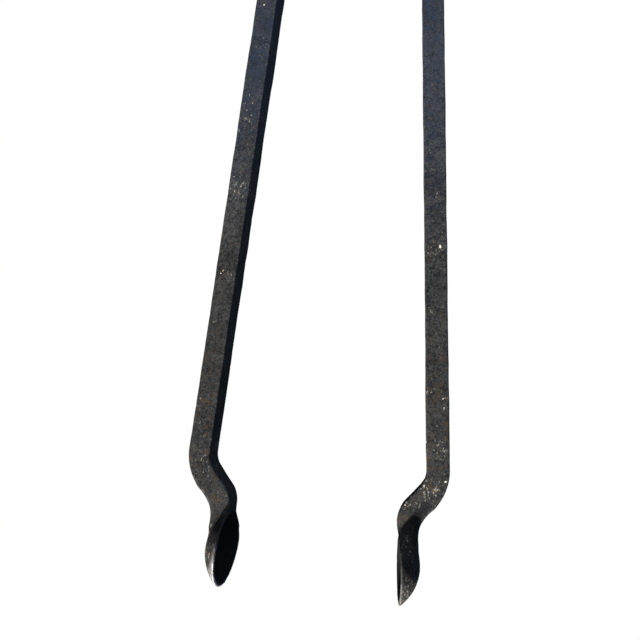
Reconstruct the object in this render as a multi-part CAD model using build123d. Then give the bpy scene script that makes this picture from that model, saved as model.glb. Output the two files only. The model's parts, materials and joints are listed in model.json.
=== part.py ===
from build123d import *
import math
import os

# Long fire tongs: two identical hand-forged halves of flat bar that cross at one rivet.
# Frame: the tongs lie flat, +Z is the rivet's axis, the cups point to -Y and the reins to +Y.
# The origin is on the rivet's axis, midway between the two bosses. Sizes are in millimetres.
# Each half is drawn closed, with its cup on the -X side, and is then opened to the rest pose.

# --- bar stock and jaw arm ---
bar = 9.5                      # bar's width in plan
bar_height = 12.7              # along the rivet's axis
edge_chamfer = 0.3             # forged corner of the bar
cup_reach = 475.0              # rivet axis to cup centre, measured along Y when closed
arm_lean = 0.65                # degrees between the straight arm and Y when closed
rest_half_angle = 4.42         # degrees that each half is open in the rest pose
closed_gap = 0.3               # between the two cup rims when closed

# --- joggle that sets the cup inward of its arm ---
rim_offset = 16.3              # arm's centreline to the plane of the cup's rim
joggle_start = 33.6            # first bend's corner, back from the cup centre
joggle_end = 20.0              # second bend's corner, back from the cup centre
outer_bend_radius = 14.0       # centreline radius of the first bend
inner_bend_radius = 7.5        # centreline radius of the second bend
neck_relief_radius = 14.0      # fullered hollow behind the neck
neck_relief_depth = 1.9
neck_relief_back = 12.0        # hollow's middle, back from the cup centre
bar_end = 7.0                  # where the bar runs out into the cup's wall, back from the cup centre

# --- dished cup ---
cup_radius = 16.6              # rim radius along the arm
cup_depth = 9.0                # rim plane to the back of the cup, outside
cup_wall = 2.2
cup_width_share = 0.92         # the cup is this much narrower across than it is long

# --- boss and rivet ---
boss_radius = 13.5
boss_thickness = 7.9
boss_gap = 0.1                 # between the two bosses
boss_chamfer = 0.8
shank_radius = 4.0
hole_clearance = 0.05          # radial, shank to bosses and washers
washer_radius = 10.5
washer_thickness = 1.5
washer_gap = 0.05              # between each washer and its boss
washer_chamfer = 0.3
head_radius = 8.0
head_height = 5.7
head_flat_radius = 3.0         # hammered flat on top of each rivet head
head_edge_share = 0.15         # upright edge of each head, as a share of its height
head_bow_width_share = 0.76    # the dome passes through a point this far out, as a share of the head's radius,
head_bow_height_share = 0.78   # and this far up, as a share of its height

# --- shoulders, from the boss out to the straight arm and rein ---
root_width = 13.0              # bar's width in plan where it leaves the boss
root_length = 17.0             # flat stretch from the rivet axis, clear of the other boss
root_lean = 40.0               # degrees between this stretch and Y
shoulder_bend_radius = 26.0
shoulder_length = 82.0         # path length from the rivet axis to the straight bar
shoulder_sections = 10

# --- rein ---
rein_reach = 212.0             # rivet axis to the rein's end, measured along Y when closed
rein_offset = 19.0             # rein's centreline from Y, where its line passes the rivet
rein_lean = 2.2                # degrees that the rein spreads from Y when closed
rein_width = 9.5               # where the shoulder ends
rein_radius = 4.5              # round grip
rein_taper_length = 62.0       # square shoulder to round grip
taper_sections = 6


def unit(angle_from_y, side, forward):
    """Plan direction that leans angle_from_y degrees off Y, towards side (+1 or -1 in X)."""
    lean = math.radians(angle_from_y)
    return Vector(side * math.sin(lean), forward * math.cos(lean))


def crossing(point_a, along_a, point_b, along_b):
    """Where two plan lines meet."""
    gap = point_b - point_a
    turn = along_a.X * along_b.Y - along_a.Y * along_b.X
    return point_a + along_a * ((gap.X * along_b.Y - gap.Y * along_b.X) / turn)


def bar_section(plane, width, height, corner, roundness=0.0):
    """Bar section on plane: eight edges, flat sides at roundness 0 and a true circle at 1."""
    half_w = width / 2
    half_h = height / 2
    flat_w = half_w - corner
    flat_h = half_h - corner
    square = [
        (half_w, -flat_h), (half_w, flat_h), (flat_w, half_h), (-flat_w, half_h),
        (-half_w, flat_h), (-half_w, -flat_h), (-flat_w, -half_h), (flat_w, -half_h),
    ]
    circle = [
        (half_w * math.cos(math.radians(-22.5 + 45 * i)), half_h * math.sin(math.radians(-22.5 + 45 * i)))
        for i in range(8)
    ]
    points = [
        (a[0] + (b[0] - a[0]) * roundness, a[1] + (b[1] - a[1]) * roundness)
        for a, b in zip(square, circle)
    ]
    edges = []
    for i, start in enumerate(points):
        end = points[(i + 1) % 8]
        middle = ((start[0] + end[0]) / 2, (start[1] + end[1]) / 2)
        if roundness == 0:
            edges.append(Line(start, end))
            continue
        on_circle = (half_w * math.cos(math.radians(45 * i)), half_h * math.sin(math.radians(45 * i)))
        bulge = (
            middle[0] + (on_circle[0] - middle[0]) * roundness,
            middle[1] + (on_circle[1] - middle[1]) * roundness,
        )
        edges.append(ThreePointArc(start, bulge, end))
    return plane * make_face(Wire(edges))


def section_plane(point, along, height):
    """Plane across a plan path at point: its X lies in plan, its Y is up."""
    return Plane(
        origin=(point.X, point.Y, height),
        x_dir=(along.Y, -along.X, 0),
        z_dir=(along.X, along.Y, 0),
    )


def ease(t):
    """Smooth step from 0 to 1."""
    t = min(max(t, 0.0), 1.0)
    return t * t * (3 - 2 * t)


def shoulder(root_along, line_point, line_along, end_width, end_height, end_corner):
    """Flat root on the boss, then a lofted bend out to a straight line in the tongs' middle plane.

    Returns the solid, and the plan point where the straight stretch takes over."""
    boss_middle = boss_gap / 2 + boss_thickness / 2
    origin = Vector(0, 0)
    corner = crossing(origin, root_along, line_point, line_along)
    path = FilletPolyline(
        (0, 0), (corner.X, corner.Y), tuple(corner + line_along * shoulder_length)[:2],
        radius=shoulder_bend_radius,
    )
    root = extrude(
        bar_section(section_plane(origin, root_along, boss_middle), root_width, boss_thickness, edge_chamfer),
        root_length,
    )
    sections = []
    for i in range(shoulder_sections):
        share = i / (shoulder_sections - 1)
        distance = root_length + (shoulder_length - root_length) * share
        point = path @ (distance / path.length)
        along = path % (distance / path.length)
        grow = ease(share)
        sections.append(bar_section(
            section_plane(point, along, boss_middle * (1 - grow)),
            root_width + (end_width - root_width) * grow,
            boss_thickness + (end_height - boss_thickness) * grow,
            edge_chamfer + (end_corner - edge_chamfer) * grow,
        ))
    bend = loft(sections)
    end = path @ (shoulder_length / path.length)
    return root + bend, Vector(end.X, end.Y)


def straight_arm_and_joggle(start, cup_centre, arm_along, inward):
    """Flat bar from the shoulder down the arm, round the joggle and into the cup."""
    neck_offset = rim_offset - bar / 2
    cup_foot = cup_centre - inward * rim_offset
    first = cup_foot - arm_along * joggle_start
    second = cup_foot - arm_along * joggle_end + inward * neck_offset
    end = cup_foot - arm_along * bar_end + inward * neck_offset
    path = FilletPolyline(
        tuple(start)[:2], tuple(first)[:2], tuple(second)[:2], tuple(end)[:2],
        radius=[outer_bend_radius, inner_bend_radius],
    )
    section = bar_section(section_plane(start, arm_along, 0), bar, bar_height, edge_chamfer)
    swept = sweep(section, path=path)
    relief_centre = (
        cup_foot - arm_along * neck_relief_back
        + inward * (rim_offset - bar + neck_relief_depth - neck_relief_radius)
    )
    relief = Pos(relief_centre.X, relief_centre.Y, 0) * Cylinder(neck_relief_radius, 2 * bar_height)
    return swept - relief


def dished_cup(rim_x, centre_y):
    """Outer cap of the cup and the ball that hollows it, as two solids."""
    ball_radius = (cup_radius ** 2 + cup_depth ** 2) / (2 * cup_depth)
    ball_x = rim_x - cup_depth + ball_radius
    place = Pos(ball_x, centre_y, 0)
    outside = place * scale(Sphere(ball_radius), by=(1, 1, cup_width_share))
    hollow = place * scale(Sphere(ball_radius - cup_wall), by=(1, 1, cup_width_share))
    return outside, hollow


def jaw_arm(rim_x):
    """Shoulder, straight arm, joggle and cup of one half, closed, on the -X side."""
    arm_along = unit(arm_lean, 1, -1)
    inward = unit(90 - arm_lean, 1, 1)
    cup_centre = Vector(rim_x, -cup_reach)
    line_point = cup_centre - inward * rim_offset
    bend, arm_start = shoulder(
        unit(root_lean, -1, -1), line_point, arm_along, bar, bar_height, edge_chamfer
    )
    arm = straight_arm_and_joggle(arm_start, cup_centre, arm_along, inward)
    outside, hollow = dished_cup(rim_x, -cup_reach)
    opening_side = Pos(rim_x + cup_radius, -cup_reach, 0) * Box(
        2 * cup_radius, 4 * cup_radius, 4 * cup_radius
    )
    return bend + (arm + (outside - opening_side) - opening_side - hollow)


def rein():
    """Shoulder, taper and round grip of the same half, closed, on the +X side."""
    along = unit(rein_lean, 1, 1)
    bend, start = shoulder(
        unit(root_lean, 1, 1), Vector(rein_offset, 0), along, rein_width, rein_width, edge_chamfer
    )
    sections = []
    for i in range(taper_sections):
        share = i / (taper_sections - 1)
        grow = ease(share)
        size = rein_width + (2 * rein_radius - rein_width) * grow
        point = start + along * (rein_taper_length * share)
        sections.append(bar_section(section_plane(point, along, 0), size, size, edge_chamfer, grow))
    taper = loft(sections)
    grip_start = start + along * rein_taper_length
    grip_length = (rein_reach - rein_radius - grip_start.Y) / along.Y
    grip_plane = section_plane(grip_start, along, 0)
    grip = extrude(grip_plane * Circle(rein_radius), grip_length)
    grip_end = grip_start + along * grip_length
    end_ball = Pos(grip_end.X, grip_end.Y, 0) * Sphere(rein_radius)
    return bend + taper + grip + end_ball


def boss():
    """Flat disc of one half, above the middle plane, before its hole."""
    disc = Pos(0, 0, boss_gap / 2 + boss_thickness / 2) * Cylinder(boss_radius, boss_thickness)
    return chamfer(disc.edges().filter_by(GeomType.CIRCLE), boss_chamfer)


def closed_half():
    """One whole forging with its rivet hole, closed, cup on the -X side."""
    blank = jaw_arm(-closed_gap / 2) + boss() + rein()
    hole = Cylinder(shank_radius + hole_clearance, 4 * boss_thickness)
    return blank - hole


def washer(height):
    """Round washer whose lower face is at height."""
    ring = Pos(0, 0, height + washer_thickness / 2) * (
        Cylinder(washer_radius, washer_thickness)
        - Cylinder(shank_radius + hole_clearance, washer_thickness)
    )
    rim = ring.edges().filter_by(GeomType.CIRCLE).sort_by(SortBy.RADIUS)[-2:]
    return chamfer(rim, washer_chamfer)


def rivet(under_head):
    """Shank with a domed head at each end; under_head is the height of each head's flat underside."""
    top = under_head + head_height
    shoulder_z = under_head + head_height * head_edge_share
    bow = (head_radius * head_bow_width_share, under_head + head_height * head_bow_height_share)
    outline = Wire([
        Line((0, 0), (shank_radius, 0)),
        Line((shank_radius, 0), (shank_radius, under_head)),
        Line((shank_radius, under_head), (head_radius, under_head)),
        Line((head_radius, under_head), (head_radius, shoulder_z)),
        ThreePointArc((head_radius, shoulder_z), bow, (head_flat_radius, top)),
        Line((head_flat_radius, top), (0, top)),
        Line((0, top), (0, 0)),
    ])
    upper = revolve(Plane.XZ * make_face(outline), Axis.Z)
    return upper + Rot(180, 0, 0) * upper


def main():
    half = closed_half()
    washer_z = boss_gap / 2 + boss_thickness + washer_gap
    upper_washer = washer(washer_z)
    nodes = {
        "left_half": Rot(0, 0, -rest_half_angle) * half,
        "right_half": Rot(0, 0, rest_half_angle) * (Rot(0, 180, 0) * half),
        "pivot_rivet": rivet(washer_z + washer_thickness),
        "upper_washer": upper_washer,
        "lower_washer": Rot(180, 0, 0) * upper_washer,
    }
    os.makedirs("parts", exist_ok=True)
    for name, shape in nodes.items():
        export_step(shape, f"parts/{name}.step")


main()
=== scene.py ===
import json
import math

import bmesh
import bpy
from bpy.props import FloatProperty, FloatVectorProperty, IntProperty, PointerProperty
from mathutils import Matrix, Vector

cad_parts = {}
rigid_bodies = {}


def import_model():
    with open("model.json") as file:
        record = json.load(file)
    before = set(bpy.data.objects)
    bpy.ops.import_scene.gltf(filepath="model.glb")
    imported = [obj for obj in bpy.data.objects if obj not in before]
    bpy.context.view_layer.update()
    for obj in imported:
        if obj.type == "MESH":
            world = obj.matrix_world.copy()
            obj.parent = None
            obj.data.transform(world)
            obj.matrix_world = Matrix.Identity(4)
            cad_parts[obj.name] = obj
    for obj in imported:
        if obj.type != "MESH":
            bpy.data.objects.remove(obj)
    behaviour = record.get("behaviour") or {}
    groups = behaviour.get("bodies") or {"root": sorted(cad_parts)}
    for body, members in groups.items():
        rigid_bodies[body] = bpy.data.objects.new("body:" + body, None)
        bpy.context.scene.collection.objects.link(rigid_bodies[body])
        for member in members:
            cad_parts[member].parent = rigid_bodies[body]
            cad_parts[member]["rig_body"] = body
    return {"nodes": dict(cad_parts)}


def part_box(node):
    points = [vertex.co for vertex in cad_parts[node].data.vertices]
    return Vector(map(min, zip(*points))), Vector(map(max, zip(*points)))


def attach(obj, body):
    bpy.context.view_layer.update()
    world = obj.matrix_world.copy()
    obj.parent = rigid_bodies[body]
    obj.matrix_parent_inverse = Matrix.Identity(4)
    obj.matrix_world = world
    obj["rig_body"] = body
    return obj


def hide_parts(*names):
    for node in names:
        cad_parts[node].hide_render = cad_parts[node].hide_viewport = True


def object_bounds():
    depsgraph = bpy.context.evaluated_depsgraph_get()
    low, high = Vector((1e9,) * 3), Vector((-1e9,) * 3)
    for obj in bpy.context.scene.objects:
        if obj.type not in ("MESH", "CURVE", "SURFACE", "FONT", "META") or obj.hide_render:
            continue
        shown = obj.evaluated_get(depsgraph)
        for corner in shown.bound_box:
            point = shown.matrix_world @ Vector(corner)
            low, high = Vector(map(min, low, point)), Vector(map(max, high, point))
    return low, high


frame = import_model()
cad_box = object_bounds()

bl_info = {
    "name": "Forged pick-up tongs",
    "version": (1, 0, 0),
    "blender": (4, 5, 0),
    "location": "3D View > Sidebar > Tongs",
    "description": "Dresses hand-forged, riveted tongs with hammer marks, forge scale and worn edges",
    "category": "Object",
}

MM = 0.001

# The frame: each half's arm leaves the Y axis by this angle at rest, and its cup is a dished ball.
ARM_ANGLE = math.radians(3.77)
CUP_BALL_RADIUS = 19.81 * MM
CUP_BALL_BACK = 10.81 * MM      # ball's centre, inward from the plane of the cup's rim
CUP_WALL = 2.2 * MM
CUP_DEPTH = 9.0 * MM
CUP_ROUNDNESS = 0.92            # the cup's width across, as a share of its length
CUP_CENTRE_FROM_TIP = 16.6 * MM
CUP_SPAN = 2.1 * CUP_CENTRE_FROM_TIP  # from the cup's tip to just past its neck
HALF_OPEN = math.radians(4.42)  # each half's opening from the closed pose

# The bar's middle line round the joggle, as (along the arm, inward) from the centre of the cup's rim.
JOGGLE = (
    Vector((-60.0, -16.3)) * MM,
    Vector((-33.6, -16.3)) * MM,
    Vector((-20.0, -4.75)) * MM,
    Vector((-7.0, -4.75)) * MM,
)
HALF_BAR = 4.75 * MM
SWELL_AT = -22.0 * MM           # middle of the swelling at the second bend, along the arm
SWELL_REACH = 7.5 * MM

# The kinds of handwork, in the order that hand_shape takes them.
HANDWORK = ("swell", "cup_turn", "cup_fill", "cup_shift", "cup_draw", "cup_lean")

# Stretches over which handwork comes in: 0 is the middle of the cup's rim and 1 is its tip.
HANDWORK_STARTS = -2.9
TURN_ZONE = (-1.3, -0.2)
DRAW_ZONE = (-1.0, 1.0)
FILL_ZONE = (0.0, 0.9)
LEAN_ZONE = (0.0, 1.0)
# Stretch over which a rim's bare metal and painted highlight come in.
LIP_WEAR_AND_HIGHLIGHT_ZONE = (-0.5, 0.8)

NECK_BACK = 10.0 * MM           # middle of the smoothed neck, back from the centre of the cup's rim
NECK_REACH = 5.0 * MM
NECK_BLUR = 25                  # rounds of smoothing there
CUP_SOFTNESS = 0.1              # the cup's share of that smoothing
LIP_WEAR_AND_HIGHLIGHT_REACH = (1.68 * MM, 7.56 * MM)  # how far a rim is rubbed bare with a painted highlight, at its middle and at its tip
# How strongly each half's rim shows its bare metal and painted highlight.
LIP_WEAR_AND_HIGHLIGHT_SHARE = {"left_half": 1.0, "right_half": 0.14}
SOOT_AND_SHADE_FILM = 0.9 * MM            # how far from a cup's inner ball its soot and painted shade fade out
RELIEF_BLUR = 10                # rounds of smoothing that proud edges are measured against
RELIEF_UNIT = 0.25 * MM         # height above the smoothed shape that counts as 1

# Patches of pale flecks on each half, in mm: along the arm, inward and reach, then strength.
# Where a patch is stronger than 1.1 the metal is chipped bare.
ASH_PATCHES = {
    "left_half": (
        (-33.0, -15.0, 8.0, 0.7),
        (-20.0, -5.0, 6.0, 0.6),
        (0.0, -7.0, 9.0, 1.0),
        (10.0, -4.0, 7.0, 1.0),
        (-117.0, -19.2, 0.9, 1.2),
        (-116.0, -17.5, 5.0, 0.65),
        (-154.0, -18.0, 8.0, 0.85),
        (-187.0, -18.5, 10.0, 0.75),
    ),
    "right_half": (
        (-32.0, -13.5, 7.0, 1.05),
        (-33.0, -11.1, 0.8, 1.9),
        (-30.2, -14.7, 0.7, 1.8),
        (-32.7, -9.3, 0.6, 1.7),
        (-25.8, -4.2, 0.6, 1.8),
        (-26.0, -5.0, 5.0, 0.85),
        (-34.4, -19.6, 0.6, 2.2),
        (-47.0, -18.0, 6.0, 0.85),
        (-10.0, -4.0, 5.0, 0.75),
        (8.0, -5.0, 8.0, 0.95),
        (-46.7, -19.5, 0.8, 1.4),
        (-56.7, -16.8, 0.7, 1.5),
        (-63.8, -19.7, 0.7, 1.8),
        (-67.9, -19.4, 0.5, 2.3),
        (-105.0, -19.9, 1.0, 1.2),
        (-103.0, -14.5, 2.6, 0.95),
        (-131.0, -19.7, 0.8, 2.4),
        (-134.0, -19.0, 5.0, 0.55),
        (-152.6, -19.5, 2.4, 0.95),
    ),
}

RELIEF = "relief"               # mesh attribute: above 0 on proud edges, below 0 in hollows
SOOT_AND_SHADE = "soot"                   # mesh attribute: 1 inside a cup, where soot and painted shade darken it
CUP_END = "cup_end"             # mesh attribute: 0 at the rivet, 1 at the cup's tip
ASH = "ash"                     # mesh attribute: 1 in the middle of a patch of pale flecks, 0 elsewhere
LIP_WEAR_AND_HIGHLIGHT = "lip"                     # mesh attribute: above 0 where the rim of a cup is rubbed bare and a highlight is painted
SOFT = "soft"                   # mesh attribute: share of the neck's smoothing, 1 in the neck

# How fine each pattern of the finish is, in repeats per metre.
PATTERN = {
    "broad": 55.0,
    "mottle": 380.0,
    "grain": 1150.0,
    "rust": 420.0,
    "rust place": 70.0,
    "rub": 500.0,
    "seam": 170.0,
    "fleck place": 75.0,
    "fleck": 950.0,
    "fleck tint": 600.0,
    "chip": 420.0,
}

# The square lights: where each one hangs, the spot that it faces, its side and its tint.
LIGHTS = {
    "top": ((0.0, -0.10, 1.5), (0.0, -0.35, 0.0), 0.9, (1.0, 1.0, 1.0)),
    "key": ((-0.80, -3.12, 1.10), (0.02, -0.45, 0.0), 0.20, (1.0, 1.0, 1.0)),
    "fill": ((0.35, 0.0, 0.28), (0.0, -0.25, 0.0), 0.25, (0.62, 0.76, 1.0)),
}

CAMERA_PLACE = (0.05131, -0.40671)   # its height is a setting
CAMERA_AIM = (-0.00341, -0.37440, 0.0)
CAMERA_ROLL = math.radians(4.1)


# --- settings that a user would change ---

def length(name, description, default, low=0.0, high=1.0):
    return FloatProperty(
        name=name, description=description, default=default, min=low, max=high,
        subtype="DISTANCE", unit="LENGTH", precision=5,
    )


def nudge(name, description, default):
    """A small length that may go either way."""
    return length(name, description, default, low=-0.01, high=0.01)


def angle(name, description, degrees):
    return FloatProperty(
        name=name, description=description, default=math.radians(degrees), subtype="ANGLE", unit="ROTATION",
    )


def share(name, description, default):
    return FloatProperty(
        name=name, description=description, default=default, min=0.0, max=1.0, subtype="FACTOR",
    )


def colour(name, description, default):
    return FloatVectorProperty(
        name=name, description=description, default=default, min=0.0, max=1.0, size=3, subtype="COLOR",
    )


def power(name, description, default):
    return FloatProperty(name=name, description=description, default=default, min=0.0, unit="POWER")


class TongsForging(bpy.types.PropertyGroup):
    """How the hammer, the heat and the years have shaped the surface."""
    bar_grain: length("Bar mesh step", "Distance between vertices across the two halves", 0.42 * MM)
    bar_stretch: FloatProperty(
        name="Bar mesh stretch", description="How much longer the steps are along the arm", default=2.2,
        min=1.0, max=6.0,
    )
    rivet_grain: length("Rivet mesh step", "Distance between vertices on the rivet and washers", 0.3 * MM)
    mark_size: length("Hammer mark size", "Width of one flat left by the hammer on the bar", 11 * MM)
    mark_depth: length("Hammer mark depth", "How far a mark dips below its ridges", 0.28 * MM)
    wave_size: length("Bar wave size", "Distance over which the bar's thickness wanders", 34 * MM)
    wave_depth: length("Bar wave depth", "How far the bar's faces wander", 0.5 * MM)
    pit_size: length("Pit size", "Size of the pits where scale has come off", 2.4 * MM)
    pit_depth: length("Pit depth", "Depth of those pits", 0.09 * MM)
    peen_size: length("Peen mark size", "Width of one blow on a rivet head", 3.4 * MM)
    peen_depth: length("Peen mark depth", "Depth of one blow on a rivet head", 0.3 * MM)
    left_swell: nudge("Left swelling", "How much the left bar is spread at its second bend", 0.7 * MM)
    left_cup_turn: angle("Left cup turn", "How far the left cup is turned on its neck", 4.4)
    left_cup_fill: nudge("Left cup fill", "How much fuller the left cup's lower back is", -0.2 * MM)
    left_cup_shift: nudge("Left cup shift", "How far the left cup sits inward of its neck", 0.5 * MM)
    left_cup_draw: nudge("Left cup draw", "How much longer the left cup is drawn", 1.0 * MM)
    left_cup_lean: nudge("Left cup lean", "How far the left cup's tip is bent inward", 0.0)
    right_swell: nudge("Right swelling", "How much the right bar is spread at its second bend", 0.8 * MM)
    right_cup_turn: angle("Right cup turn", "How far the right cup is turned on its neck", -6.5)
    right_cup_fill: nudge("Right cup fill", "How much fuller the right cup's lower back is", 0.0)
    right_cup_shift: nudge("Right cup shift", "How far the right cup sits inward of its neck", 0.3 * MM)
    right_cup_draw: nudge("Right cup draw", "How much longer the right cup is drawn", 0.0)
    right_cup_lean: nudge("Right cup lean", "How far the right cup's tip is bent inward", 0.6 * MM)
    seed: IntProperty(name="Seed", description="Picks another set of marks", default=7)


class TongsFinish(bpy.types.PropertyGroup):
    """Colours of the forge scale and of what shows through it."""
    scale_dark: colour("Dark scale", "Darkest tone of the forge scale", (0.0035, 0.0037, 0.0042))
    scale_light: colour("Light scale", "Lightest tone of the forge scale", (0.0500, 0.0485, 0.0455))
    # Bluish tint painted on the arms towards the rivet as a reflection of the sky.
    cool: colour("Blued steel", "Tint of the bar towards the rivet", (0.0215, 0.0295, 0.0485))
    warm: colour("Brown rust", "Tint of the bar towards the cups", (0.056, 0.034, 0.017))
    worn: colour("Worn edge", "Bare metal along the edges", (0.10, 0.098, 0.092))
    # Rims of the cups: steel rubbed bare, lightened to a painted highlight where the key light catches them.
    lip: colour("Cup lips", "Steel rubbed bare on the rims of the cups", (0.36, 0.345, 0.32))
    flake: colour("Tan flecks", "Flecks of thin rust", (0.26, 0.20, 0.13))
    flake_grey: colour("Grey flecks", "Flecks of ash", (0.20, 0.20, 0.18))
    chip: colour("Chips", "Specks of bare metal", (0.62, 0.57, 0.50))
    # Inside of the cups: soot, darkened to near black as painted shade in their hollows.
    soot: colour("Soot", "Inside of the cups", (0.0015, 0.0018, 0.0026))
    edge_wear: share("Edge wear", "How much of each edge is rubbed bright", 0.75)


class TongsStage(bpy.types.PropertyGroup):
    """Floor, lights and camera."""
    floor_size: length("Floor size", "Side of the floor", 8.0, high=50.0)
    floor_colour: colour("Floor", "Colour that the floor glows in", (1.0, 1.0, 1.0))
    floor_glow: FloatProperty(name="Floor glow", description="Strength of the floor's own light", default=1.0)
    sky: colour("Sky", "Colour of the weak light from all round", (0.50, 0.66, 1.0))
    sky_strength: FloatProperty(name="Sky strength", description="Strength of that light", default=0.09)
    camera_height: length("Camera height", "Height above the tongs' middle plane", 0.31844, high=5.0)
    lens: FloatProperty(
        name="Lens", description="Focal length", default=42.19, unit="CAMERA", min=10, max=200,
    )
    top_power: power("Top light", "Power of the overhead softbox", 2.0)
    fill_power: power("Fill light", "Power of the cool light beside the rivet", 1.1)
    key_power: power("Key light", "Power of the light past the cups", 390.0)


def ease(value, low, high):
    """Smooth step from 0 at low to 1 at high."""
    t = min(max((value - low) / (high - low), 0.0), 1.0)
    return t * t * (3 - 2 * t)


# --- meshes ---

def new_object(name, mesh):
    piece = bpy.data.objects.new(name, mesh)
    bpy.context.scene.collection.objects.link(piece)
    return piece


def evaluated_mesh(piece, name):
    """The piece's mesh with its modifiers applied, as a plain mesh of its own."""
    graph = bpy.context.evaluated_depsgraph_get()
    mesh = bpy.data.meshes.new_from_object(piece.evaluated_get(graph))
    mesh.name = name
    return mesh


def merged_copy(node):
    """A copy of a CAD node's mesh with its loose triangles joined."""
    shape = bmesh.new()
    shape.from_mesh(frame["nodes"][node].data)
    bmesh.ops.remove_doubles(shape, verts=shape.verts, dist=0.002 * MM)
    mesh = bpy.data.meshes.new(node + "_copy")
    shape.to_mesh(mesh)
    shape.free()
    return mesh


def even_mesh(source, step, turn=0.0, stretch=1.0):
    """The shape as an even net of small quads, laid along its own arm, in one skin.

    turn is the angle about Z that brings the arm onto the Y axis. stretch is how much longer than
    wide each quad is along the arm."""
    lay = Matrix.Diagonal((1, 1 / stretch, 1, 1)) @ Matrix.Rotation(turn, 4, "Z")
    source.transform(lay)
    piece = new_object(source.name + "_net", source)
    net = piece.modifiers.new("Net", "REMESH")
    net.mode = "VOXEL"
    net.voxel_size = step
    mesh = evaluated_mesh(piece, source.name + "_net")
    bpy.data.objects.remove(piece)
    mesh.transform(lay.inverted())
    for polygon in mesh.polygons:
        polygon.use_smooth = True
    return mesh


# --- node trees ---

class Tree:
    """Short words for building a node tree."""

    def __init__(self, nodes, links):
        self.nodes = nodes
        self.links = links

    def add(self, kind, inputs=None, **settings):
        node = self.nodes.new(kind)
        for name, value in settings.items():
            setattr(node, name, value)
        for name, value in (inputs or {}).items():
            self.feed(value, node.inputs[name])
        return node

    def feed(self, value, socket):
        if isinstance(value, bpy.types.NodeSocket):
            self.links.new(value, socket)
        elif isinstance(value, bpy.types.Node):
            self.links.new(value.outputs[0], socket)
        else:
            socket.default_value = value

    def math(self, operation, a, b=0.0, clamp=False):
        return self.add("ShaderNodeMath", {0: a, 1: b}, operation=operation, use_clamp=clamp).outputs[0]

    def vector(self, operation, a, b=None, scale=None):
        inputs = {0: a}
        if b is not None:
            inputs[1] = b
        if scale is not None:
            inputs["Scale"] = scale
        return self.add("ShaderNodeVectorMath", inputs, operation=operation)

    def ramp(self, value, low, high, to_low=0.0, to_high=1.0, smooth=True):
        return self.add(
            "ShaderNodeMapRange",
            {"Value": value, "From Min": low, "From Max": high, "To Min": to_low, "To Max": to_high},
            interpolation_type="SMOOTHSTEP" if smooth else "LINEAR", clamp=True,
        ).outputs[0]

    def noise(self, where, scale, seed, detail, roughness=0.5):
        return self.add(
            "ShaderNodeTexNoise",
            {"Vector": where, "Scale": scale, "Detail": detail, "Roughness": roughness, "W": seed},
            noise_dimensions="4D",
        ).outputs[0]

    def mix(self, factor, a, b):
        node = self.add("ShaderNodeMix", {0: factor}, data_type="RGBA", clamp_factor=True)
        self.feed(a, node.inputs[6])
        self.feed(b, node.inputs[7])
        return node.outputs[2]


def rgb(value):
    return (value[0], value[1], value[2], 1.0)


# --- forging: a Geometry Nodes tree that marks any of the pieces ---

FORGE_INPUTS = (
    ("Mark size", "NodeSocketFloat"),
    ("Mark depth", "NodeSocketFloat"),
    ("Wave size", "NodeSocketFloat"),
    ("Wave depth", "NodeSocketFloat"),
    ("Pit size", "NodeSocketFloat"),
    ("Pit depth", "NodeSocketFloat"),
    ("Seed", "NodeSocketInt"),
    ("Material", "NodeSocketMaterial"),
)


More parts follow.
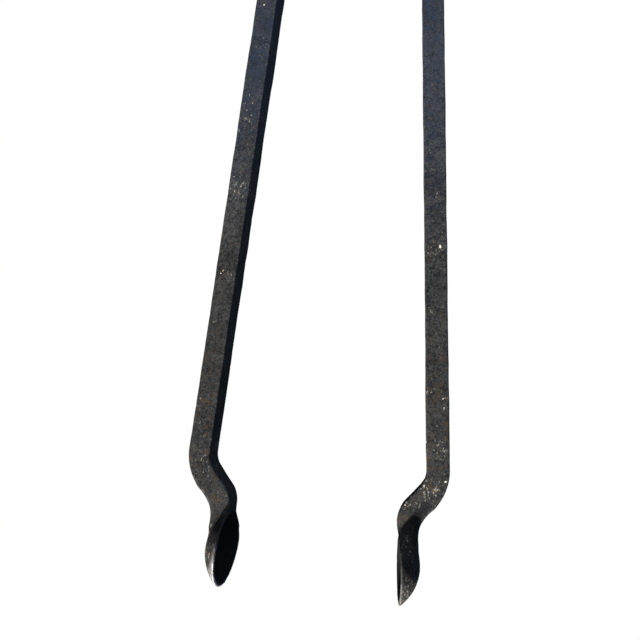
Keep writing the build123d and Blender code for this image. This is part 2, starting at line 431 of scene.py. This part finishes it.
def forge_marks_tree():
    """Hammer flats, a wandering face and scale pits, pushed along the surface's normal."""
    group = bpy.data.node_groups.new("Forge marks", "GeometryNodeTree")
    group.is_modifier = True
    group.interface.new_socket("Geometry", in_out="INPUT", socket_type="NodeSocketGeometry")
    for name, kind in FORGE_INPUTS:
        group.interface.new_socket(name, in_out="INPUT", socket_type=kind)
    group.interface.new_socket("Geometry", in_out="OUTPUT", socket_type="NodeSocketGeometry")

    tree = Tree(group.nodes, group.links)
    given = tree.add("NodeGroupInput")
    place = tree.add("GeometryNodeInputPosition")
    normal = tree.add("GeometryNodeInputNormal")
    seed = given.outputs["Seed"]

    def per(size):
        return tree.math("DIVIDE", 1.0, given.outputs[size])

    def blurred(rounds, weight=1.0):
        return tree.add(
            "GeometryNodeBlurAttribute", {"Value": place, "Iterations": rounds, "Weight": weight},
            data_type="FLOAT_VECTOR",
        )

    softness = tree.add("GeometryNodeInputNamedAttribute", {"Name": SOFT}, data_type="FLOAT")
    soft_neck = tree.add(
        "GeometryNodeSetPosition",
        {"Geometry": given.outputs["Geometry"], "Position": blurred(NECK_BLUR, softness)},
    )
    even = tree.add("GeometryNodeSetPosition", {"Geometry": soft_neck, "Position": blurred(1)})

    cells = tree.add(
        "ShaderNodeTexVoronoi",
        {"Vector": place, "W": seed, "Scale": per("Mark size"), "Smoothness": 0.12},
        voronoi_dimensions="4D", feature="SMOOTH_F1",
    )
    dish = tree.math("MULTIPLY", cells.outputs["Distance"], cells.outputs["Distance"])
    marks = tree.math("MULTIPLY", tree.math("SUBTRACT", dish, 0.25), given.outputs["Mark depth"])
    wave = tree.noise(place, per("Wave size"), seed, detail=1.0)
    waves = tree.math("MULTIPLY", tree.math("SUBTRACT", wave, 0.5), given.outputs["Wave depth"])
    pit = tree.ramp(tree.noise(place, per("Pit size"), seed, detail=2.0, roughness=0.6), 0.56, 0.68)
    pits = tree.math("MULTIPLY", pit, given.outputs["Pit depth"])
    rise = tree.math("SUBTRACT", tree.math("ADD", marks, waves), pits)
    push = tree.vector("SCALE", normal, scale=rise)
    marked = tree.add("GeometryNodeSetPosition", {"Geometry": even, "Offset": push.outputs[0]})

    gap = tree.vector("SUBTRACT", place, blurred(RELIEF_BLUR))
    proud = tree.vector("DOT_PRODUCT", gap, normal).outputs["Value"]
    noted = tree.add(
        "GeometryNodeStoreNamedAttribute",
        {"Geometry": marked, "Name": RELIEF, "Value": tree.math("DIVIDE", proud, RELIEF_UNIT)},
        data_type="FLOAT", domain="POINT",
    )
    real = tree.add("GeometryNodeRealizeInstances", {"Geometry": noted})
    dressed = tree.add("GeometryNodeSetMaterial", {"Geometry": real, "Material": given.outputs["Material"]})
    tree.add("NodeGroupOutput", {"Geometry": dressed})
    return group


def forged(name, mesh, material, values):
    """A finished piece: the mesh with the forge marks tree applied under the given values."""
    group = bpy.data.node_groups.get("Forge marks") or forge_marks_tree()
    piece = new_object(name, mesh)
    marks = piece.modifiers.new("Forge marks", "NODES")
    marks.node_group = group
    values = dict(values, Material=material)
    for socket in group.interface.items_tree:
        if socket.in_out == "INPUT" and socket.name in values:
            marks[socket.identifier] = values[socket.name]
    finished = evaluated_mesh(piece, name)
    piece.modifiers.clear()
    piece.data = finished
    bpy.data.meshes.remove(mesh)
    return piece


# --- materials ---

def forge_scale(name, finish, wear, brown):
    """Black forge scale: mottled, pitted, rubbed bright on its edges.

    wear is how bright the edges are, brown how much rust shows."""
    material = bpy.data.materials.new(name)
    material.use_nodes = True
    material.node_tree.nodes.clear()
    tree = Tree(material.node_tree.nodes, material.node_tree.links)
    where = tree.add("ShaderNodeTexCoord").outputs["Object"]
    relief, soot, cup_end, ash, lip_wear_and_highlight_place = (
        tree.add("ShaderNodeAttribute", attribute_name=name).outputs["Fac"]
        for name in (RELIEF, SOOT_AND_SHADE, CUP_END, ASH, LIP_WEAR_AND_HIGHLIGHT)
    )
    outside_soot_and_shade = tree.math("SUBTRACT", 1.0, soot)

    def pattern(name, seed, detail, roughness=0.5, place=where):
        return tree.noise(place, PATTERN[name], seed, detail, roughness)

    # Mottled scale.
    broad = pattern("broad", 1.0, detail=3.0)
    mottle = pattern("mottle", 2.0, detail=6.0, roughness=0.72)
    grain = pattern("grain", 3.0, detail=4.0, roughness=0.65)
    tone = tree.math("ADD", tree.math("MULTIPLY", broad, 0.22), tree.math("MULTIPLY", mottle, 0.33))
    tone = tree.math("ADD", tone, tree.math("MULTIPLY", grain, 0.45))
    light = tree.ramp(tone, 0.44, 0.57, smooth=False)
    base = tree.mix(light, rgb(finish.scale_dark), rgb(finish.scale_light))

    # Painted sky reflection: a bluish tint along the arms towards the rivet. Rusty towards the cups.
    painted_sky_place = tree.math("MULTIPLY", tree.ramp(cup_end, 0.72, 0.52), tree.ramp(cup_end, 0.25, 0.5, 0.45, 1.0))
    painted_sky = tree.math("MULTIPLY", painted_sky_place, tree.ramp(mottle, 0.35, 0.6, 0.9, 0.35))
    base = tree.mix(painted_sky, base, rgb(finish.cool))
    rust_field = tree.ramp(pattern("rust", 4.0, detail=5.0, roughness=0.7), 0.50, 0.64)
    rust_place = tree.ramp(pattern("rust place", 9.0, detail=2.0), 0.34, 0.52)
    near_cup = tree.ramp(cup_end, 0.70, 0.91, 0.25, 1.3)
    rust = tree.math("MULTIPLY", rust_field, rust_place)
    rust = tree.math("MULTIPLY", rust, tree.math("MULTIPLY", near_cup, brown))
    base = tree.mix(rust, base, rgb(finish.warm))

    # Edges rubbed bright, and the scale darker towards the cups.
    rub = tree.ramp(pattern("rub", 5.0, detail=4.0, roughness=0.65), 0.42, 0.66)
    edge = tree.math("MULTIPLY", tree.ramp(relief, 0.30, 1.1), rub)
    edge = tree.math("MULTIPLY", edge, wear, clamp=True)
    base = tree.mix(edge, base, rgb(finish.worn))
    darker = tree.math(
        "ADD", tree.ramp(cup_end, 0.64, 0.78, 0.0, 0.24), tree.ramp(cup_end, 0.86, 0.97, 0.0, 0.16),
    )
    base = tree.mix(darker, base, rgb(finish.scale_dark))

    # Rims of the cups rubbed bare, with a painted highlight where the key light catches them.
    lip = tree.math("MULTIPLY", lip_wear_and_highlight_place, tree.ramp(mottle, 0.35, 0.60, 0.35, 1.6))
    lip = tree.math("MULTIPLY", lip, outside_soot_and_shade, clamp=True)
    base = tree.mix(lip, base, rgb(finish.lip))

    # Thin dark seams in the scale.
    seam = tree.math("ABSOLUTE", tree.math("SUBTRACT", pattern("seam", 11.0, detail=4.0), 0.5))
    seam = tree.math("MULTIPLY", tree.ramp(seam, 0.022, 0.004), tree.ramp(broad, 0.45, 0.6, 0.15, 0.75))
    base = tree.mix(seam, base, rgb(finish.scale_dark))

    # Pale flecks, scattered and in patches, longer along the arm.
    scattered = tree.ramp(pattern("fleck place", 8.0, detail=3.0, roughness=0.6), 0.48, 0.68, 0.0, 0.6)
    scattered = tree.math("MULTIPLY", scattered, tree.ramp(cup_end, 0.75, 0.95, 1.0, 1.5))
    cluster = tree.math("MAXIMUM", scattered, ash)
    lean = tree.vector("MULTIPLY", where, (1.0, 0.6, 1.0)).outputs[0]
    fleck_field = pattern("fleck", 6.0, detail=4.0, roughness=0.7, place=lean)
    fleck_edge = tree.math("SUBTRACT", 0.66, tree.math("MULTIPLY", cluster, 0.13))
    flake = tree.ramp(tree.math("SUBTRACT", fleck_field, fleck_edge), 0.0, 0.05, 0.0, 0.9)
    flake = tree.math("MULTIPLY", flake, outside_soot_and_shade, clamp=True)
    fleck_tint = tree.ramp(pattern("fleck tint", 12.0, detail=1.0), 0.40, 0.60)
    base = tree.mix(flake, base, tree.mix(fleck_tint, rgb(finish.flake), rgb(finish.flake_grey)))

    # Chips down to bare metal, in picked cells and at the strongest patches.
    cells = tree.add(
        "ShaderNodeTexVoronoi", {"Vector": where, "Scale": PATTERN["chip"], "W": 6.0},
        voronoi_dimensions="4D", feature="F1",
    )
    picked = tree.add("ShaderNodeSeparateColor", {0: cells.outputs["Color"]})
    rarity = tree.math("SUBTRACT", 0.985, tree.math("MULTIPLY", ash, 0.12))
    chosen = tree.math("GREATER_THAN", picked.outputs[0], rarity)
    ragged = tree.math("ADD", cells.outputs["Distance"], tree.math("MULTIPLY", grain, 0.20))
    chips = tree.math("MULTIPLY", tree.ramp(ragged, 0.31, 0.22), chosen)
    chips = tree.math("MAXIMUM", chips, tree.ramp(ash, 1.1, 1.7))
    chips = tree.math("MULTIPLY", chips, outside_soot_and_shade, clamp=True)
    base = tree.mix(chips, base, rgb(finish.chip))
    # Soot inside the cups, with painted shade in their hollows.
    base = tree.mix(tree.math("MULTIPLY", soot, 0.93), base, rgb(finish.soot))

    # Sheen and relief.
    bright = tree.math("MAXIMUM", edge, lip)
    dull = tree.math("MAXIMUM", chips, soot)
    rough = tree.ramp(mottle, 0.35, 0.7, 0.66, 0.50)
    rough = tree.math("SUBTRACT", rough, tree.math("MULTIPLY", bright, 0.14))
    rough = tree.math("ADD", rough, tree.math("MULTIPLY", dull, 0.22), clamp=True)
    metal = tree.math("MULTIPLY", bright, 0.6)
    height = tree.math("ADD", tree.math("MULTIPLY", mottle, 0.7), tree.math("MULTIPLY", grain, 0.3))
    height = tree.math("ADD", height, tree.math("MULTIPLY", chips, 0.25))
    bump = tree.add("ShaderNodeBump", {"Strength": 0.7, "Distance": 0.5 * MM, "Height": height})
    surface = tree.add(
        "ShaderNodeBsdfPrincipled",
        {"Base Color": base, "Metallic": metal, "Roughness": rough, "Normal": bump.outputs[0],
         "Specular IOR Level": 0.2},
    )
    tree.add("ShaderNodeOutputMaterial", {"Surface": surface})
    return material


# --- handwork, and the mesh attributes that the finish follows ---

def cup_axes(node, side):
    """Centre of the cup's rim, the way along the arm to its tip, and the way inward out of its mouth.

    side is -1 for the left half."""
    along = Vector((side * math.sin(HALF_OPEN), -math.cos(HALF_OPEN), 0))
    inward = Vector((-side * math.cos(HALF_OPEN), -math.sin(HALF_OPEN), 0))
    tip = min((v.co for v in frame["nodes"][node].data.vertices), key=lambda co: co.y)
    rim_centre = Vector((tip.x, tip.y, 0)) - along * CUP_CENTRE_FROM_TIP
    return rim_centre, along, inward


def off_middle_line(spot):
    """How far a spot lies off the joggle's middle line, and the way across the bar there."""
    nearest = None
    for start, end in zip(JOGGLE, JOGGLE[1:]):
        run = end - start
        part = min(max((spot - start).dot(run) / run.length_squared, 0.0), 1.0)
        gap = (spot - start - run * part).length
        if nearest is None or gap < nearest[0]:
            across = Vector((-run.y, run.x)).normalized()
            nearest = (gap, (spot - start).dot(across), across)
    return nearest[1], nearest[2]


def hand_shape(mesh, node, side, swell, turn, fill, shift, draw, lean):
    """Leaves handwork in one half: the bar spread at its second bend, and the cup turned and drawn."""
    rim_centre, along, inward = cup_axes(node, side)
    for vertex in mesh.vertices:
        from_rim = vertex.co - rim_centre
        spot = Vector((from_rim.dot(along), from_rim.dot(inward)))
        down = spot.x / CUP_CENTRE_FROM_TIP
        if down < HANDWORK_STARTS:
            continue
        off, across = off_middle_line(spot)
        bell = math.exp(-((spot.x - SWELL_AT) / SWELL_REACH) ** 2)
        push = across * (swell * bell * min(max(off / HALF_BAR, -1.0), 1.0))
        from_rim += along * push.x + inward * push.y
        back = max(0.0, -spot.y) / CUP_DEPTH
        from_rim -= inward * (fill * ease(down, *FILL_ZONE) * back)
        in_cup = ease(down, *TURN_ZONE)
        turned = Matrix.Rotation(turn * in_cup, 3, along) @ from_rim
        bent = inward * (shift * in_cup + lean * ease(down, *LEAN_ZONE))
        vertex.co = rim_centre + turned + bent + along * (draw * ease(down, *DRAW_ZONE))


def note_places(mesh, node, side):
    """Writes for each vertex its soot with painted shade, how near the cup, soft and ashy it is, and its bare
    rim with a painted highlight.
    """
    low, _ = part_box(node)
    rim_centre, along, inward = cup_axes(node, side)
    ball_centre = rim_centre + inward * CUP_BALL_BACK
    inner_radius = CUP_BALL_RADIUS - CUP_WALL
    patches = [
        (Vector((u * MM, w * MM)), reach * MM, strength) for u, w, reach, strength in ASH_PATCHES[node]
    ]
    notes = {name: [] for name in (SOOT_AND_SHADE, CUP_END, SOFT, ASH, LIP_WEAR_AND_HIGHLIGHT)}
    for vertex in mesh.vertices:
        away = vertex.co - ball_centre
        away.z /= CUP_ROUNDNESS
        gap = abs(away.length - inner_radius)
        in_cup = 1.0 if vertex.co.y < low.y + CUP_SPAN else 0.0
        notes[SOOT_AND_SHADE].append(in_cup * max(0.0, 1.0 - gap / SOOT_AND_SHADE_FILM) ** 0.5)
        notes[CUP_END].append(min(max(vertex.co.y / low.y, 0.0), 1.0))
        from_rim = vertex.co - rim_centre
        spot = Vector((from_rim.dot(along), from_rim.dot(inward)))
        at_neck = math.exp(-((spot.x + NECK_BACK) / NECK_REACH) ** 2)
        notes[SOFT].append(max(at_neck, CUP_SOFTNESS * ease(spot.x, -2 * NECK_BACK, -NECK_BACK)))
        down = spot.x / CUP_CENTRE_FROM_TIP
        reach = LIP_WEAR_AND_HIGHLIGHT_REACH[0] + (LIP_WEAR_AND_HIGHLIGHT_REACH[1] - LIP_WEAR_AND_HIGHLIGHT_REACH[0]) * ease(down, 0.0, 1.0)
        # The rim's bare band, with its painted highlight, widens towards the tip.
        rubbed = ease(down, *LIP_WEAR_AND_HIGHLIGHT_ZONE) * max(0.0, 1.0 - abs(spot.y) / reach)
        notes[LIP_WEAR_AND_HIGHLIGHT].append(LIP_WEAR_AND_HIGHLIGHT_SHARE[node] * rubbed)
        notes[ASH].append(max(
            strength * math.exp(-((spot - middle).length / reach) ** 2) for middle, reach, strength in patches
        ))
    for name, values in notes.items():
        mesh.attributes.new(name, "FLOAT", "POINT").data.foreach_set("value", values)


# --- operators ---

def settle(piece, node):
    """Puts a finished piece on the body of the CAD node that it stands for, and hides that node."""
    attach(piece, frame["nodes"][node]["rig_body"])
    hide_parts(node)


class TONGS_OT_forge_halves(bpy.types.Operator):
    """Makes both forged halves: cup, joggle, arm, boss and rein in one piece each"""
    bl_idname = "tongs.forge_halves"
    bl_label = "Forge the halves"

    def execute(self, context):
        forging = context.scene.tongs_forging
        finish = context.scene.tongs_finish
        material = forge_scale("Forge scale", finish, wear=finish.edge_wear, brown=1.0)
        for node, which, side in (("left_half", "left_", -1), ("right_half", "right_", 1)):
            mesh = even_mesh(merged_copy(node), forging.bar_grain, -side * ARM_ANGLE, forging.bar_stretch)
            note_places(mesh, node, side)
            hand_shape(mesh, node, side, *(getattr(forging, which + work) for work in HANDWORK))
            piece = forged(node + "_forged", mesh, material, {
                "Mark size": forging.mark_size,
                "Mark depth": forging.mark_depth,
                "Wave size": forging.wave_size,
                "Wave depth": forging.wave_depth,
                "Pit size": forging.pit_size,
                "Pit depth": forging.pit_depth,
                "Seed": forging.seed + side,
            })
            settle(piece, node)
        return {"FINISHED"}


class TONGS_OT_set_rivet(bpy.types.Operator):
    """Makes the rivet with its two peened heads"""
    bl_idname = "tongs.set_rivet"
    bl_label = "Set the rivet"

    def execute(self, context):
        forging = context.scene.tongs_forging
        finish = context.scene.tongs_finish
        material = forge_scale("Peened rivet", finish, wear=0.9, brown=0.3)
        mesh = even_mesh(merged_copy("pivot_rivet"), forging.rivet_grain)
        piece = forged("pivot_rivet_peened", mesh, material, {
            "Mark size": forging.peen_size,
            "Mark depth": forging.peen_depth,
            "Wave size": forging.wave_size,
            "Wave depth": 0.0,
            "Pit size": forging.pit_size,
            "Pit depth": forging.pit_depth / 2,
            "Seed": forging.seed,
        })
        settle(piece, "pivot_rivet")
        return {"FINISHED"}


class TONGS_OT_fit_washers(bpy.types.Operator):
    """Makes the washer under each rivet head"""
    bl_idname = "tongs.fit_washers"
    bl_label = "Fit the washers"

    def execute(self, context):
        forging = context.scene.tongs_forging
        finish = context.scene.tongs_finish
        material = forge_scale("Washer scale", finish, wear=1.0, brown=0.4)
        for number, node in enumerate(("upper_washer", "lower_washer")):
            mesh = even_mesh(merged_copy(node), forging.rivet_grain)
            piece = forged(node + "_worn", mesh, material, {
                "Mark size": forging.peen_size,
                "Mark depth": 0.0,
                "Wave size": forging.peen_size,
                "Wave depth": forging.pit_depth,
                "Pit size": forging.pit_size,
                "Pit depth": forging.pit_depth / 2,
                "Seed": forging.seed + number,
            })
            settle(piece, node)
        return {"FINISHED"}


def softbox(name, place, target, side, tint, power):
    lamp = bpy.data.lights.new(name, "AREA")
    lamp.shape = "SQUARE"
    lamp.size = side
    lamp.energy = power
    lamp.color = tint
    box = bpy.data.objects.new(name, lamp)
    box.location = place
    box.rotation_euler = (Vector(target) - Vector(place)).to_track_quat("-Z", "Y").to_euler()
    bpy.context.scene.collection.objects.link(box)


class TONGS_OT_set_stage(bpy.types.Operator):
    """Lays the pale floor and sets up the lights and the camera"""
    bl_idname = "tongs.set_stage"
    bl_label = "Set the stage"

    def execute(self, context):
        stage = context.scene.tongs_stage
        self.lay_floor(stage, cad_box[0].z)
        self.hang_lights(stage)
        self.place_camera(context.scene, stage)
        world = bpy.data.worlds.new("Studio")
        world.use_nodes = True
        world.node_tree.nodes.clear()
        sky = Tree(world.node_tree.nodes, world.node_tree.links)
        fill, backdrop = (
            sky.add("ShaderNodeBackground", {"Color": rgb(tint), "Strength": strength})
            for tint, strength in ((stage.sky, stage.sky_strength), (stage.floor_colour, stage.floor_glow))
        )
        seen = sky.add("ShaderNodeLightPath").outputs["Is Camera Ray"]
        mixed = sky.add("ShaderNodeMixShader", {0: seen, 1: fill, 2: backdrop})
        sky.add("ShaderNodeOutputWorld", {"Surface": mixed})
        context.scene.world = world
        context.scene.view_settings.view_transform = "Standard"
        return {"FINISHED"}

    def lay_floor(self, stage, height):
        half = stage.floor_size / 2
        mesh = bpy.data.meshes.new("floor")
        corners = [(-half, -half, height), (half, -half, height), (half, half, height), (-half, half, height)]
        mesh.from_pydata(corners, [], [(0, 1, 2, 3)])
        floor = new_object("floor", mesh)
        material = bpy.data.materials.new("Pale floor")
        material.use_nodes = True
        surface = material.node_tree.nodes["Principled BSDF"]
        surface.inputs["Base Color"].default_value = (0.0, 0.0, 0.0, 1.0)
        surface.inputs["Specular IOR Level"].default_value = 0.0
        surface.inputs["Emission Color"].default_value = rgb(stage.floor_colour)
        surface.inputs["Emission Strength"].default_value = stage.floor_glow
        mesh.materials.append(material)
        floor.visible_diffuse = False
        floor.visible_glossy = False

    def hang_lights(self, stage):
        for name, settings in LIGHTS.items():
            softbox(name + "_light", *settings, getattr(stage, name + "_power"))

    def place_camera(self, scene, stage):
        lens = bpy.data.cameras.new("camera")
        lens.sensor_width = 36.0
        lens.lens = stage.lens
        camera = bpy.data.objects.new("camera", lens)
        scene.collection.objects.link(camera)
        place = Vector((*CAMERA_PLACE, stage.camera_height))
        away = (place - Vector(CAMERA_AIM)).normalized()
        right = Vector((0, 1, 0)).cross(away).normalized()
        up = away.cross(right)
        turned = Matrix((right, up, away)).transposed().to_4x4()
        camera.matrix_world = Matrix.Translation(place) @ turned @ Matrix.Rotation(CAMERA_ROLL, 4, "Z")
        scene.camera = camera


class TONGS_PT_sidebar(bpy.types.Panel):
    """Lists the steps that make the tongs"""
    bl_idname = "TONGS_PT_sidebar"
    bl_label = "Tongs"
    bl_space_type = "VIEW_3D"
    bl_region_type = "UI"
    bl_category = "Tongs"

    def draw(self, context):
        layout = self.layout
        for step in STEPS:
            layout.operator(step.bl_idname)
        for settings in SETTINGS:
            group = getattr(context.scene, settings)
            box = layout.box()
            for name in group.bl_rna.properties.keys():
                if name not in ("rna_type", "name"):
                    box.prop(group, name)


STEPS = (TONGS_OT_forge_halves, TONGS_OT_set_rivet, TONGS_OT_fit_washers, TONGS_OT_set_stage)
SETTINGS = {"tongs_forging": TongsForging, "tongs_finish": TongsFinish, "tongs_stage": TongsStage}


def register():
    for group in SETTINGS.values():
        bpy.utils.register_class(group)
    for name, group in SETTINGS.items():
        setattr(bpy.types.Scene, name, PointerProperty(type=group))
    for step in STEPS:
        bpy.utils.register_class(step)
    bpy.utils.register_class(TONGS_PT_sidebar)


def unregister():
    bpy.utils.unregister_class(TONGS_PT_sidebar)
    for step in reversed(STEPS):
        bpy.utils.unregister_class(step)
    for name in SETTINGS:
        delattr(bpy.types.Scene, name)
    for group in reversed(SETTINGS.values()):
        bpy.utils.unregister_class(group)


def main():
    register()
    bpy.ops.tongs.forge_halves()
    bpy.ops.tongs.set_rivet()
    bpy.ops.tongs.fit_washers()
    bpy.ops.tongs.set_stage()


if __name__ == "__main__":
    main()
